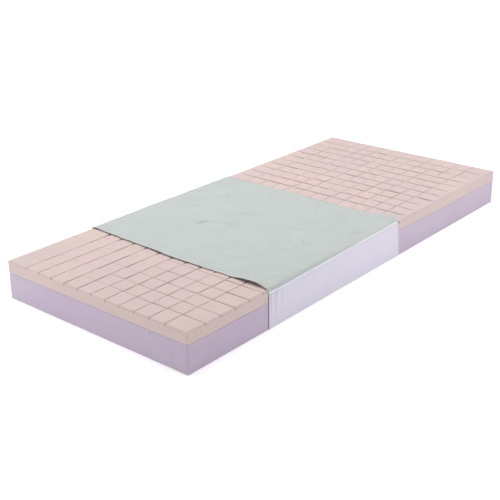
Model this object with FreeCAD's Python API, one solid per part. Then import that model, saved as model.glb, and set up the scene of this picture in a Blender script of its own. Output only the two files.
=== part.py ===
import FreeCAD, Part
import math
import os
from FreeCAD import Vector as V

# Pressure relief mattress: a castellated comfort foam bonded on a firmer base
# foam, with a length of its wipe-clean cover round the middle. The cover is a
# sleeve that slides along the foam. It closes with a zip on the far side, low
# on the wall, under a hanging flap.
#
# Frame, in mm: origin at the middle of the underside, +X along the length
# towards the end furthest from the cover, -Y the plain side, +Y the zip side,
# +Z up.

# ---- driving dimensions, mm -------------------------------------------------
LENGTH = 1980.0          # along X
WIDTH = 880.0            # along Y
CORE_BOTTOM = 1.3        # the foam stands on the cover's base panel
BOND_Z = 104.0           # underside of the castellated foam
CORE_TOP = 148.5
TOP_EDGE_R = 6.0         # soft outer edge of the top foam
BASE_EDGE_R = 3.0        # soft outer edge of the base foam

# castellation cuts
CUT_W = 2.6              # knife-cut width
CUT_FLOOR_Z = 113.0      # floor of the deep part of a cut
CUT_RUNOUT_Z = 140.5     # the cuts are only this deep where they leave the edge
CUT_RUNOUT = 9.0         # length of that shallow stretch
LONG_CUTS = 11
LONG_FIRST_Y = -347.5    # first cut along the length
LONG_PITCH = 68.54
CROSS_CUTS = 27          # cuts across the width, at three slightly different pitches
CROSS_NEAR = (-911.5, 70.14, 5)     # first cut, pitch, number
CROSS_FAR = (268.4, 70.67, 10)

# cover sleeve
COVER_X0 = -598.0
COVER_X1 = 190.0
SKIN = 0.8               # coated fabric
COVER_IN_Y = 444.5       # inner face of the side walls
COVER_IN_TOP = 149.0     # underside of the top panel
SEAM_Z = 140.0           # welded seam between top panel and side wall
SEAM_H = 3.2
SEAM_PROUD = 0.6

# zip, on the +Y wall
ZIP_Z = 42.0             # middle of the chain
TAPE_OPEN = 8.0          # wall fabric stops this far from the chain's middle
TAPE_REACH = 18.0        # tape ends this far from the chain's middle
TAPE_T = 0.7
CHAIN_HALF = 2.9         # outer edge of the chain from its middle
CHAIN_BAR = 1.0          # bar that the teeth stand on
TOOTH_TIP = 0.8          # tooth tips from the chain's middle
TOOTH_PITCH = 4.0
TOOTH_W = 2.1
CHAIN_T = 2.4
STOP_L = 2.5
CHAIN_X0 = COVER_X0 + 8.0
CHAIN_X1 = COVER_X1 - 8.0

# slider and pull tab
SLIDER_X = 150.0         # where the slider is parked
SLIDER_L = 14.0
SLIDER_H = 10.0
PLATE_T = 1.2
PLATE_GAP = 0.4          # plate to chain
WEB_T = 0.8              # post between the plates, in the gap between the teeth
BRIDGE_L = 8.0
BRIDGE_W = 2.6
BRIDGE_T = 0.9
TUNNEL_H = 2.1
PIN_R = 0.75
ARM_IN = 1.7             # inner face of each pull arm from the middle
ARM_OUT = 3.2
TAB_FROM = 5.0
TAB_L = 26.0
TAB_W = 8.5

# flap over the zip
FLAP_X0 = COVER_X0 + 6.0
FLAP_X1 = 96.0
FLAP_AXIS_Y = 446.4
FLAP_AXIS_Z = 64.0
FLAP_IN_Y = 451.2        # inner face where it hangs over the zip
FLAP_BOTTOM_Z = 23.0
HEM_H = 9.0
HEM_T = 0.5

OUT_Y = COVER_IN_Y + SKIN


def save(name, shape):
    shape = shape.removeSplitter() if name in CLEAN else shape
    if not shape.isValid():
        shape.fix(1e-4, 1e-5, 1e-3)
    print(f"{name}: valid {shape.isValid()}, {len(shape.Solids)} solids, {shape.Volume / 1000:.2f} cm3, faces {len(shape.Faces)}")
    shape.exportStep(f"parts/{name}.step")


CLEAN = {"zip_slider", "zip_pull_tab"}
os.makedirs("parts", exist_ok=True)


def box(x0, x1, y0, y1, z0, z1):
    return Part.makeBox(x1 - x0, y1 - y0, z1 - z0, V(x0, y0, z0))


def wire_yz(points, x):
    """Closed wire in a plane of constant x. A point may be ((y, z), (ym, zm)): arrive by an arc through the second."""
    edges, last = [], None
    pts = points + [points[0]]
    for p in pts:
        arc = isinstance(p[0], tuple)
        end = p[0] if arc else p
        if last is not None:
            a, b = V(x, *last), V(x, *end)
            if arc:
                edges.append(Part.Arc(a, V(x, *p[1]), b).toShape())
            else:
                edges.append(Part.makeLine(a, b))
        last = end
    return Part.Wire(edges)


def along_x(points, x0, x1):
    return Part.Face(wire_yz(points, x0)).extrude(V(x1 - x0, 0, 0))


def mirror_y(shape):
    return shape.mirror(V(0, 0, 0), V(0, 1, 0))


def edges_where(shape, test):
    return [e for e in shape.Edges if test(e)]


# ---- foam core ---------------------------------------------------------------
hx, hy = LENGTH / 2, WIDTH / 2

base = box(-hx, hx, -hy, hy, CORE_BOTTOM, BOND_Z)
low = edges_where(base, lambda e: all(abs(v.Z - CORE_BOTTOM) < 1e-6 for v in e.Vertexes))
upright = edges_where(base, lambda e: abs(e.Vertexes[0].Z - e.Vertexes[-1].Z) > 50)
base = base.makeFillet(BASE_EDGE_R, low + upright)
save("base_foam", base)

top = box(-hx, hx, -hy, hy, BOND_Z, CORE_TOP)
high = edges_where(top, lambda e: all(abs(v.Z - CORE_TOP) < 1e-6 for v in e.Vertexes))
upright = edges_where(top, lambda e: abs(e.Vertexes[0].Z - e.Vertexes[-1].Z) > 20)
top = top.makeFillet(BASE_EDGE_R, upright)
high = edges_where(top, lambda e: all(abs(v.Z - CORE_TOP) < 1e-6 for v in e.Vertexes))
top = top.makeFillet(TOP_EDGE_R - 3.2, high)

# Each cut is a T in side view: deep inside, shallow where it leaves the edge.
# The cuts across are split between the cuts along, so that no two cutters
# share a face.
long_y = [LONG_FIRST_Y + LONG_PITCH * i for i in range(LONG_CUTS)]
near_x = [CROSS_NEAR[0] + CROSS_NEAR[1] * i for i in range(CROSS_NEAR[2])]
far_x = [CROSS_FAR[0] + CROSS_FAR[1] * i for i in range(CROSS_FAR[2])]
between = CROSS_CUTS - len(near_x) - len(far_x)
step = (far_x[0] - near_x[-1]) / (between + 1)
cross_x = near_x + [near_x[-1] + step * (i + 1) for i in range(between)] + far_x
half = CUT_W / 2


def tee(a0, a1, deep0, deep1):
    """Side view of a cut, as (position along it, z)."""
    up = CORE_TOP + 5
    return [(a0, up), (a0, CUT_RUNOUT_Z), (deep0, CUT_RUNOUT_Z), (deep0, CUT_FLOOR_Z),
            (deep1, CUT_FLOOR_Z), (deep1, CUT_RUNOUT_Z), (a1, CUT_RUNOUT_Z), (a1, up)]


def prism(points, at, along):
    pts = [V(a, at, z) if along == "x" else V(at, a, z) for a, z in points]
    face = Part.Face(Part.makePolygon(pts + [pts[0]]))
    return face.extrude(V(0, CUT_W, 0) if along == "x" else V(CUT_W, 0, 0))


cutters = []
for y in long_y:
    cutters.append(prism(tee(-hx - 5, hx + 5, -hx + CUT_RUNOUT, hx - CUT_RUNOUT), y - half, "x"))
for x in cross_x:
    cutters.append(prism(tee(-hy - 5, hy + 5, -hy + CUT_RUNOUT, hy - CUT_RUNOUT), x - half, "y"))
grid = cutters[0].fuse(cutters[1:])
top = top.cut(grid)
save("castellated_top_foam", top)

# ---- cover: panels of coated fabric ------------------------------------------
# The top panel turns down over both long edges to the welded seams.
r_out = COVER_IN_TOP + SKIN - SEAM_Z - 1.3
r_in = r_out - SKIN
cz = COVER_IN_TOP + SKIN - r_out
cy = OUT_Y - r_out
s = math.sin(math.pi / 4)
profile = [
    (-OUT_Y, SEAM_Z), (-OUT_Y, cz),
    ((-cy, cz + r_out), (-cy - r_out * s, cz + r_out * s)),
    (cy, cz + r_out),
    ((OUT_Y, cz), (cy + r_out * s, cz + r_out * s)),
    (OUT_Y, SEAM_Z), (COVER_IN_Y, SEAM_Z), (COVER_IN_Y, cz),
    ((cy, cz + r_in), (cy + r_in * s, cz + r_in * s)),
    (-cy, cz + r_in),
    ((-COVER_IN_Y, cz), (-cy - r_in * s, cz + r_in * s)),
    (-COVER_IN_Y, SEAM_Z),
]
save("cover_top_panel", along_x(profile, COVER_X0, COVER_X1))
save("cover_side_panel_near", box(COVER_X0, COVER_X1, -OUT_Y, -COVER_IN_Y, 0, SEAM_Z))
save("cover_side_panel_far_upper", box(COVER_X0, COVER_X1, COVER_IN_Y, OUT_Y, ZIP_Z + TAPE_OPEN, SEAM_Z))
save("cover_side_panel_far_lower", box(COVER_X0, COVER_X1, COVER_IN_Y, OUT_Y, 0, ZIP_Z - TAPE_OPEN))
save("cover_base_panel", box(COVER_X0, COVER_X1, -COVER_IN_Y, COVER_IN_Y, 0, SKIN))


def seam(z):
    """A flat rounded weld bead on the +Y wall."""
    h = SEAM_H / 2
    pts = [(OUT_Y, z - h), ((OUT_Y, z + h), (OUT_Y + SEAM_PROUD, z))]
    a, m, b = V(COVER_X0, OUT_Y, z - h), V(COVER_X0, OUT_Y + SEAM_PROUD, z), V(COVER_X0, OUT_Y, z + h)
    w = Part.Wire([Part.Arc(a, m, b).toShape(), Part.makeLine(b, a)])
    return Part.Face(w).extrude(V(COVER_X1 - COVER_X0, 0, 0))


save("top_seam_far", seam(SEAM_Z))
save("top_seam_near", mirror_y(seam(SEAM_Z)))
save("bottom_seam_far", seam(SEAM_H / 2 + 1.0))
save("bottom_seam_near", mirror_y(seam(SEAM_H / 2 + 1.0)))

# ---- zip -----------------------------------------------------------------------
tape_y0 = COVER_IN_Y - TAPE_T
save("zip_tape_upper", box(COVER_X0, COVER_X1, tape_y0, COVER_IN_Y, ZIP_Z + CHAIN_HALF, ZIP_Z + TAPE_REACH))
save("zip_tape_lower", box(COVER_X0, COVER_X1, tape_y0, COVER_IN_Y, ZIP_Z - TAPE_REACH, ZIP_Z - CHAIN_HALF))

chain_mid = COVER_IN_Y - TAPE_T / 2
chain_y0, chain_y1 = chain_mid - CHAIN_T / 2, chain_mid + CHAIN_T / 2


def comb(sign, first):
    """One half of the chain: a bar with teeth towards the chain's middle, as one prism."""
    z_out, z_bar, z_tip = (ZIP_Z + sign * d for d in (CHAIN_HALF, CHAIN_HALF - CHAIN_BAR, TOOTH_TIP))
    pts = [V(CHAIN_X0, chain_y0, z_out), V(CHAIN_X0, chain_y0, z_bar)]
    x = CHAIN_X0 + first
    while x + TOOTH_W < CHAIN_X1 - 1.0:
        pts += [V(x, chain_y0, z_bar), V(x + 0.25, chain_y0, z_tip),
                V(x + TOOTH_W - 0.25, chain_y0, z_tip), V(x + TOOTH_W, chain_y0, z_bar)]
        x += TOOTH_PITCH
    pts += [V(CHAIN_X1, chain_y0, z_bar), V(CHAIN_X1, chain_y0, z_out)]
    return Part.Face(Part.makePolygon(pts + [pts[0]])).extrude(V(0, CHAIN_T, 0))


save("zip_teeth_upper", comb(1, 1.0))
save("zip_teeth_lower", comb(-1, 3.0))

# a crimped stop round the tape edges at each end of the chain
stops = []
for x in (CHAIN_X0 - STOP_L, CHAIN_X1):
    b = box(x, x + STOP_L, chain_y0 - 0.3, chain_y1 + 0.3, ZIP_Z - CHAIN_HALF - 1.6, ZIP_Z + CHAIN_HALF + 1.6)
    for sgn in (1, -1):
        z0, z1 = sorted((ZIP_Z + sgn * CHAIN_HALF, ZIP_Z + sgn * (CHAIN_HALF + 3)))
        b = b.cut(box(x - 1, x + STOP_L + 1, tape_y0, COVER_IN_Y, z0, z1))
    stops.append(b)
save("zip_end_stops", Part.makeCompound(stops))

# slider: two plates joined by a post that runs in the gap between the teeth
sx = SLIDER_X
out_y0 = chain_y1 + PLATE_GAP
out_y1 = out_y0 + PLATE_T
in_y1 = chain_y0 - PLATE_GAP
in_y0 = in_y1 - PLATE_T


def plate(y0, y1):
    """Shield outline: square shoulders at the front, drawn in at the tail."""
    h, l = SLIDER_H / 2, SLIDER_L / 2
    pts = [(sx + l, -h * 0.86), (sx + l, h * 0.86), (sx + l - 1.5, h), (sx - l * 0.15, h),
           (sx - l, h * 0.78), (sx - l, -h * 0.78), (sx - l * 0.15, -h), (sx + l - 1.5, -h)]
    p = [V(x, y0, ZIP_Z + z) for x, z in pts]
    return Part.Face(Part.makePolygon(p + [p[0]])).extrude(V(0, y1 - y0, 0))


slider = plate(out_y0, out_y1).fuse(plate(in_y0, in_y1))
slider = slider.fuse(box(sx - 4.0, sx + 4.0, in_y1 - 0.2, out_y0 + 0.2, ZIP_Z - WEB_T / 2, ZIP_Z + WEB_T / 2))
for sgn in (1, -1):
    z0, z1 = sorted((ZIP_Z + sgn * (CHAIN_HALF + 0.5), ZIP_Z + sgn * (CHAIN_HALF + 1.2)))
    slider = slider.fuse(box(sx - 5.5, sx + 5.5, COVER_IN_Y + 0.4, out_y0 + 0.2, z0, z1))
    slider = slider.fuse(box(sx - 5.5, sx + 5.5, in_y1 - 0.2, tape_y0 - 0.4, z0, z1))
bl, by = BRIDGE_L / 2, out_y1
bridge = [(sx - bl, by - 0.2), (sx - bl, by + TUNNEL_H), (sx - bl + BRIDGE_T, by + TUNNEL_H + BRIDGE_T),
          (sx + bl - BRIDGE_T, by + TUNNEL_H + BRIDGE_T), (sx + bl, by + TUNNEL_H), (sx + bl, by - 0.2),
          (sx + bl - BRIDGE_T, by - 0.2), (sx + bl - BRIDGE_T, by + TUNNEL_H),
          (sx - bl + BRIDGE_T, by + TUNNEL_H), (sx - bl + BRIDGE_T, by - 0.2)]
p = [V(x, y, ZIP_Z - BRIDGE_W / 2) for x, y in bridge]
slider = slider.fuse(Part.Face(Part.makePolygon(p + [p[0]])).extrude(V(0, 0, BRIDGE_W)))
save("zip_slider", slider)

# pull tab: a cross pin under the bridge, an arm each side of it, and the tab
pin_y = out_y1 + 0.3 + PIN_R
pull = Part.makeCylinder(PIN_R, 2 * ARM_OUT, V(sx, pin_y, ZIP_Z - ARM_OUT), V(0, 0, 1))
for sgn in (1, -1):
    z0, z1 = sorted((ZIP_Z + sgn * ARM_IN, ZIP_Z + sgn * ARM_OUT))
    pull = pull.fuse(box(sx, sx + TAB_FROM + 1.5, pin_y - PIN_R, pin_y + PIN_R, z0, z1))
w = TAB_W / 2
tab = box(sx + TAB_FROM, sx + TAB_L - w, pin_y - PIN_R, pin_y + PIN_R, ZIP_Z - w, ZIP_Z + w)
tab = tab.fuse(Part.makeCylinder(w, 2 * PIN_R, V(sx + TAB_L - w, pin_y - PIN_R, ZIP_Z), V(0, 1, 0)))
tab = tab.cut(Part.makeCylinder(1.8, 4, V(sx + TAB_L - w, pin_y - 2, ZIP_Z), V(0, 1, 0)))
tab = tab.cut(box(sx + TAB_FROM + 3.0, sx + TAB_L - 10.0, pin_y + PIN_R - 0.3, pin_y + 2, ZIP_Z - 2.4, ZIP_Z + 2.4))
save("zip_pull_tab", pull.fuse(tab))

# ---- flap over the zip -----------------------------------------------------------
fy, fz = FLAP_AXIS_Y, FLAP_AXIS_Z
flap = [(fy - 0.4, fz - 0.4), (fy + 0.4, fz - 0.1),
        (FLAP_IN_Y + SKIN, fz - 8.5), (FLAP_IN_Y + SKIN, FLAP_BOTTOM_Z + HEM_T),
        (FLAP_IN_Y, FLAP_BOTTOM_Z + HEM_T), (FLAP_IN_Y, fz - 8.1)]
save("zip_flap", along_x(flap, FLAP_X0, FLAP_X1))
a, b = FLAP_IN_Y, FLAP_IN_Y + SKIN
hem = [(a - HEM_T, FLAP_BOTTOM_Z), (b + HEM_T, FLAP_BOTTOM_Z), (b + HEM_T, FLAP_BOTTOM_Z + HEM_H),
       (b, FLAP_BOTTOM_Z + HEM_H), (b, FLAP_BOTTOM_Z + HEM_T), (a, FLAP_BOTTOM_Z + HEM_T),
       (a, FLAP_BOTTOM_Z + HEM_H), (a - HEM_T, FLAP_BOTTOM_Z + HEM_H)]
save("zip_flap_hem", along_x(hem, FLAP_X0, FLAP_X1))
save("zip_flap_seam", box(FLAP_X0, FLAP_X1, OUT_Y, OUT_Y + 0.7, fz + 1.3, fz + 5.3))
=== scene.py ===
import math
import bpy
import bmesh
import numpy as np
from mathutils import Matrix, Vector


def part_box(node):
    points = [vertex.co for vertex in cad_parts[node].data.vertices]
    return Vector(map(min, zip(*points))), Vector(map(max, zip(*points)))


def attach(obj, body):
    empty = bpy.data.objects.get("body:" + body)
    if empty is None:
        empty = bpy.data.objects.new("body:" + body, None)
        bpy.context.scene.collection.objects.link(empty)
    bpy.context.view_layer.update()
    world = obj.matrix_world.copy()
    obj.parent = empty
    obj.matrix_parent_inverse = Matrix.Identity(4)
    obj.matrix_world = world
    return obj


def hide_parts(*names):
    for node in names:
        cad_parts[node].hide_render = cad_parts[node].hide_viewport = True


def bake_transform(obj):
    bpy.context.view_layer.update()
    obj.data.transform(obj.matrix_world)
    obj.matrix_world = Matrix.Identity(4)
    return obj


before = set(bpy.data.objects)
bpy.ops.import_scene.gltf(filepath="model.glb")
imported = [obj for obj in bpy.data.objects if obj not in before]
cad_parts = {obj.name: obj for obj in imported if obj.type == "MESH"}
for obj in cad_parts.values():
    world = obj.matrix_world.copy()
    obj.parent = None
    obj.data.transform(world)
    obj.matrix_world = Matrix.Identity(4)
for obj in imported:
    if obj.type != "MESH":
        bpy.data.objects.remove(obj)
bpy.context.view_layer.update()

MM = 0.001


# ------------------------------------------------------------------ helpers
def mmbox(node):
    lo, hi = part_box(node)
    return np.array(lo) / MM, np.array(hi) / MM


def ss(a, b, x):
    t = np.clip((np.asarray(x, float) - a) / (b - a), 0.0, 1.0)
    return t * t * (3 - 2 * t)


def hash01(i, j, seed):
    """A repeatable number from 0 to 1 for each pair of whole numbers."""
    n = (np.asarray(i, np.int64) * 374761393 + np.asarray(j, np.int64) * 668265263 + int(seed) * 1442695041) & 0xFFFFFFFF
    n = ((n ^ (n >> 13)) * 1274126177) & 0xFFFFFFFF
    n = ((n ^ (n >> 16)) * 2246822519) & 0xFFFFFFFF
    return ((n ^ (n >> 15)) & 0xFFFFFF) / float(0xFFFFFF)


def noise(x, y, size, seed):
    """Smooth noise from -1 to 1 with features of about that size."""
    x, y = np.asarray(x, float) / size, np.asarray(y, float) / size
    x, y = np.broadcast_arrays(x, y)
    i, j = np.floor(x).astype(np.int64), np.floor(y).astype(np.int64)
    u, v = x - i, y - j
    u, v = u * u * u * (u * (u * 6 - 15) + 10), v * v * v * (v * (v * 6 - 15) + 10)
    a, b = hash01(i, j, seed), hash01(i + 1, j, seed)
    c, d = hash01(i, j + 1, seed), hash01(i + 1, j + 1, seed)
    return 2 * ((a * (1 - u) + b * u) * (1 - v) + (c * (1 - u) + d * u) * v) - 1


def fractal(x, y, size, seed, octaves=3):
    total, amp = 0.0, 1.0
    for k in range(octaves):
        total = total + amp * noise(x, y, size / 2 ** k, seed + 17 * k)
        amp *= 0.5
    return total / 1.75


def turned(x, y, degrees):
    a = math.radians(degrees)
    return x * math.cos(a) + y * math.sin(a), -x * math.sin(a) + y * math.cos(a)


def make(name, verts, faces, smooth=True):
    """A mesh object from points in mm."""
    me = bpy.data.meshes.new(name)
    verts = np.asarray(verts, float) * MM
    if isinstance(faces, np.ndarray):
        n, k = faces.shape
        me.vertices.add(len(verts))
        me.vertices.foreach_set("co", verts.astype(np.float32).ravel())
        me.loops.add(n * k)
        me.loops.foreach_set("vertex_index", faces.astype(np.int32).ravel())
        me.polygons.add(n)
        me.polygons.foreach_set("loop_start", np.arange(0, n * k, k, dtype=np.int32))
        me.polygons.foreach_set("loop_total", np.full(n, k, np.int32))
        me.update(calc_edges=True)
    else:
        me.from_pydata([tuple(v) for v in verts], [], [tuple(int(i) for i in f) for f in faces])
        me.update()
    me.validate()
    if smooth:
        me.polygons.foreach_set("use_smooth", [True] * len(me.polygons))
    o = bpy.data.objects.new(name, me)
    bpy.context.scene.collection.objects.link(o)
    return o


def quads(n, m, flip=False):
    i, j = np.meshgrid(np.arange(n - 1), np.arange(m - 1), indexing="ij")
    a = (i * m + j).ravel()
    f = np.stack([a, a + m, a + m + 1, a + 1], 1)
    return f[:, ::-1] if flip else f


def grid(name, P, flip=False):
    n, m, _ = P.shape
    return make(name, P.reshape(-1, 3), quads(n, m, flip))


def thicken(o, mm, offset):
    m = o.modifiers.new("thickness", "SOLIDIFY")
    m.thickness, m.offset, m.use_even_offset = mm * MM, offset, False
    m.use_rim = True
    return m


def apply_all(o):
    dg = bpy.context.evaluated_depsgraph_get()
    me = bpy.data.meshes.new_from_object(o.evaluated_get(dg))
    o.modifiers.clear()
    old = o.data
    o.data = me
    bpy.data.meshes.remove(old)
    return o


def paint(o, mat):
    o.data.materials.clear()
    o.data.materials.append(mat)
    return o


# ------------------------------------------------------------------ materials
class Nodes:
    def __init__(self, name):
        self.mat = bpy.data.materials.new(name)
        self.mat.use_nodes = True
        self.t = self.mat.node_tree
        self.t.nodes.clear()
        self.out = self.t.nodes.new("ShaderNodeOutputMaterial")
        self.b = self.t.nodes.new("ShaderNodeBsdfPrincipled")
        self.link(self.b.outputs[0], self.out.inputs["Surface"])
        self.tc = self.t.nodes.new("ShaderNodeTexCoord")

    def link(self, a, b):
        self.t.links.new(a, b)

    def coords(self, scale=(1, 1, 1), rot=(0, 0, 0), loc=(0, 0, 0)):
        m = self.t.nodes.new("ShaderNodeMapping")
        m.inputs["Scale"].default_value = scale
        m.inputs["Rotation"].default_value = rot
        m.inputs["Location"].default_value = loc
        self.link(self.tc.outputs["Object"], m.inputs["Vector"])
        return m.outputs[0]

    def noise(self, vec, scale, detail=3.0, rough=0.55, distortion=0.0):
        n = self.t.nodes.new("ShaderNodeTexNoise")
        n.inputs["Scale"].default_value = scale
        n.inputs["Detail"].default_value = detail
        n.inputs["Roughness"].default_value = rough
        n.inputs["Distortion"].default_value = distortion
        self.link(vec, n.inputs["Vector"])
        return n.outputs["Fac"]

    def cells(self, vec, scale, out="Distance", feature="F1"):
        n = self.t.nodes.new("ShaderNodeTexVoronoi")
        n.feature = feature
        n.inputs["Scale"].default_value = scale
        self.link(vec, n.inputs["Vector"])
        return n.outputs[out]

    def wave(self, vec, scale, direction="X", distortion=0.0):
        n = self.t.nodes.new("ShaderNodeTexWave")
        n.bands_direction = direction
        n.wave_profile = "SIN"
        n.inputs["Scale"].default_value = scale
        n.inputs["Distortion"].default_value = distortion
        self.link(vec, n.inputs["Vector"])
        return n.outputs["Fac"]

    def math(self, op, a, b=None, c=None, clamp=False):
        n = self.t.nodes.new("ShaderNodeMath")
        n.operation, n.use_clamp = op, clamp
        for k, v in enumerate((a, b, c)):
            if v is None:
                continue
            if isinstance(v, (int, float)):
                n.inputs[k].default_value = v
            else:
                self.link(v, n.inputs[k])
        return n.outputs[0]

    def attribute(self, name):
        n = self.t.nodes.new("ShaderNodeAttribute")
        n.attribute_type, n.attribute_name = "GEOMETRY", name
        return n.outputs["Fac"]

    def remap(self, v, a, b, c, d):
        n = self.t.nodes.new("ShaderNodeMapRange")
        n.clamp = True
        self.link(v, n.inputs["Value"])
        for k, x in zip(("From Min", "From Max", "To Min", "To Max"), (a, b, c, d)):
            n.inputs[k].default_value = x
        return n.outputs[0]

    def mix(self, fac, a, b, how="MIX"):
        n = self.t.nodes.new("ShaderNodeMix")
        n.data_type, n.blend_type = "RGBA", how
        for k, v in ((0, fac), (6, a), (7, b)):
            if isinstance(v, (int, float)):
                n.inputs[k].default_value = v
            elif isinstance(v, (tuple, list)):
                n.inputs[k].default_value = (*v, 1.0)[:4]
            else:
                self.link(v, n.inputs[k])
        return n.outputs[2]

    def split(self, vec):
        n = self.t.nodes.new("ShaderNodeSeparateXYZ")
        self.link(vec, n.inputs[0])
        return n.outputs

    def bump(self, height, strength, mm, normal=None):
        n = self.t.nodes.new("ShaderNodeBump")
        n.inputs["Strength"].default_value = strength
        n.inputs["Distance"].default_value = mm * MM
        self.link(height, n.inputs["Height"])
        if normal is not None:
            self.link(normal, n.inputs["Normal"])
        return n.outputs[0]

    def done(self, color=None, rough=None, normal=None, **fixed):
        if color is not None:
            if isinstance(color, (tuple, list)):
                self.b.inputs["Base Color"].default_value = (*color, 1.0)[:4]
            else:
                self.link(color, self.b.inputs["Base Color"])
        if rough is not None:
            if isinstance(rough, (int, float)):
                self.b.inputs["Roughness"].default_value = rough
            else:
                self.link(rough, self.b.inputs["Roughness"])
        if normal is not None:
            self.link(normal, self.b.inputs["Normal"])
        for k, v in fixed.items():
            self.b.inputs[k.replace("_", " ")].default_value = v
        self.mat.diffuse_color = (0.7, 0.7, 0.7, 1)
        return self.mat


def lin(r, g, b):
    return tuple(((c / 255 + 0.055) / 1.055) ** 2.4 if c / 255 > 0.04045 else c / 255 / 12.92 for c in (r, g, b))


def shade(c, k):
    return tuple(min(1.0, v * k) for v in c)


def tinted(c, *k):
    return tuple(a * b for a, b in zip(c, k))


# The tint of each material, as the colour it shows in even white light.
PINK = tinted(lin(222, 200, 190), 0.924, 0.947, 1.013)
LILAC = tinted(lin(190, 172, 192), 1.087, 1.147, 1.123)
GREEN = tinted(lin(201, 209, 206), 0.883, 0.877, 0.882)
WHITE = tinted(lin(226, 223, 238), 0.893, 0.868, 0.878)


def foam_material(name, tint, warm, cool, cell=900.0, speck=0.10, cut=False):
    """Open-cell foam: a fine cell texture, a mottle of two tints, and rare blow holes with painted shade in them; cut
    foam also gets painted shade deep inside its cuts.
    """
    n = Nodes(name)
    v = n.coords()
    broad = n.noise(n.coords(scale=(3.2, 3.2, 6)), 1.0, 2.0)
    blotch = n.noise(v, 38.0, 3.0)
    fine = n.noise(v, 420.0, 2.0)
    cells = n.cells(v, cell)
    big = n.cells(v, cell * 0.42)
    c = n.mix(n.remap(broad, 0.35, 0.65, 0, 1), warm, cool)
    c = n.mix(n.remap(blotch, 0.3, 0.7, 0.0, 0.45), c, tint)
    dark = n.mix(1.0, c, (0.80, 0.78, 0.78), "MULTIPLY")
    c = n.mix(n.remap(cells, 0.25, 0.65, speck * 2.2, 0.0), c, dark)
    c = n.mix(n.remap(fine, 0.35, 0.7, 0.0, speck), c, dark)
    # blow holes: single pores, a few to the hand's breadth, each dented in with painted shade inside it
    pore = n.cells(v, 46.0)
    pick = n.cells(v, 46.0, "Color")
    rare = n.math("GREATER_THAN", n.split(pick)[0], 0.80)
    pore_dent_and_shade = n.math("MULTIPLY", n.remap(pore, 0.035, 0.075, 1.0, 0.0), rare)
    c = n.mix(n.math("MULTIPLY", pore_dent_and_shade, 0.55), c, shade(tint, 0.30))
    if cut:
        c = n.mix(n.remap(n.attribute("tone"), -1, 1, 0, 1), n.mix(1.0, c, (0.975, 0.985, 0.97), "MULTIPLY"), n.mix(1.0, c, (1.0, 0.985, 1.0), "MULTIPLY"))
        # painted shade: the foam is darkened deep inside the cuts, where the slits lie in shadow
        painted_cut_shade = n.attribute("depth")
        c = n.mix(n.remap(painted_cut_shade, 0.06, 0.55, 0.0, 0.94), c, n.mix(1.0, c, (0.34, 0.26, 0.24), "MULTIPLY"))
    h = n.math("ADD", n.math("MULTIPLY", cells, 0.6), n.math("MULTIPLY", big, 0.5))
    h = n.math("ADD", h, n.math("MULTIPLY", fine, 0.35))
    h = n.math("SUBTRACT", h, n.math("MULTIPLY", pore_dent_and_shade, 1.6))
    bump = n.bump(h, 0.55, 0.6)
    return n.done(c, n.remap(fine, 0.2, 0.8, 0.86, 0.98), bump,
                  Specular_IOR_Level=0.12, Sheen_Weight=0.10, Sheen_Roughness=0.6)


def weave(n, v, across, along, size):
    """A plain weave of that thread spacing in mm, from 0 to 1, without UVs."""
    k = 1.0 / (size * MM) / 6.2832 * 3.14159
    a = n.wave(v, k, across)
    b = n.wave(v, k, along)
    return n.math("MAXIMUM", a, b), n.math("MULTIPLY", a, b)


# ------------------------------------------------------------------ the mattress
core_lo, core_hi = np.minimum(mmbox("base_foam")[0], mmbox("castellated_top_foam")[0]), np.maximum(mmbox("base_foam")[1], mmbox("castellated_top_foam")[1])
HX, HY = core_hi[0], core_hi[1]
BOTTOM, TOP = core_lo[2], core_hi[2]
BOND = mmbox("castellated_top_foam")[0][2]
cov_lo, cov_hi = mmbox("cover_top_panel")
CX0, CX1 = cov_lo[0], cov_hi[0]
OUT_Y = cov_hi[1]
SEAM_Z = cov_lo[2]

near = [-911.5 + 70.14 * i for i in range(5)]
far = [268.4 + 70.67 * i for i in range(10)]
XCUT = near + [near[-1] + (far[0] - near[-1]) * (i + 1) / 13 for i in range(12)] + far
YCUT = [-347.5 + 68.54 * i for i in range(11)]


def bond_z(x, y):
    """The glue line isn't quite level."""
    x, y = np.asarray(x, float), np.asarray(y, float)
    side = np.interp(x, [-990, -900, -700, -600, 150, 230, 330, 450, 700, 990],
                     [2.6, 1.8, 0.2, 0.0, 3.0, 5.5, 3.6, 1.2, 0.2, 0.0])
    end = np.interp(y, [-440, -330, -150, 100, 300, 440], [2.6, 1.0, 0.4, 0.2, -0.4, -1.6])
    w_side = ss(-360, -440, y)
    w_end = ss(-880, -990, x)
    z = side * w_side * (1 - w_end) + end * w_end
    return BOND + z + 0.55 * noise(x, y, 70, 5) + 0.35 * noise(x, y, 23, 6)


def round_rect(P, hx, hy, r):
    """Points on a rectangle's outline are drawn in to round its corners."""
    P = P.copy()
    ax, ay = np.abs(P[:, 0]) - (hx - r), np.abs(P[:, 1]) - (hy - r)
    corner = (ax > 0) & (ay > 0)
    d = np.hypot(ax, ay)
    k = np.where(corner & (d > r), r / np.maximum(d, 1e-9), 1.0)
    P[:, 0] = np.where(corner, np.sign(P[:, 0]) * (hx - r + ax * k), P[:, 0])
    P[:, 1] = np.where(corner, np.sign(P[:, 1]) * (hy - r + ay * k), P[:, 1])
    return P


def block_share(x):
    """0 at the near end's bare foam, 1 at the far end's."""
    return ss(-560, 150, x)


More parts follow.
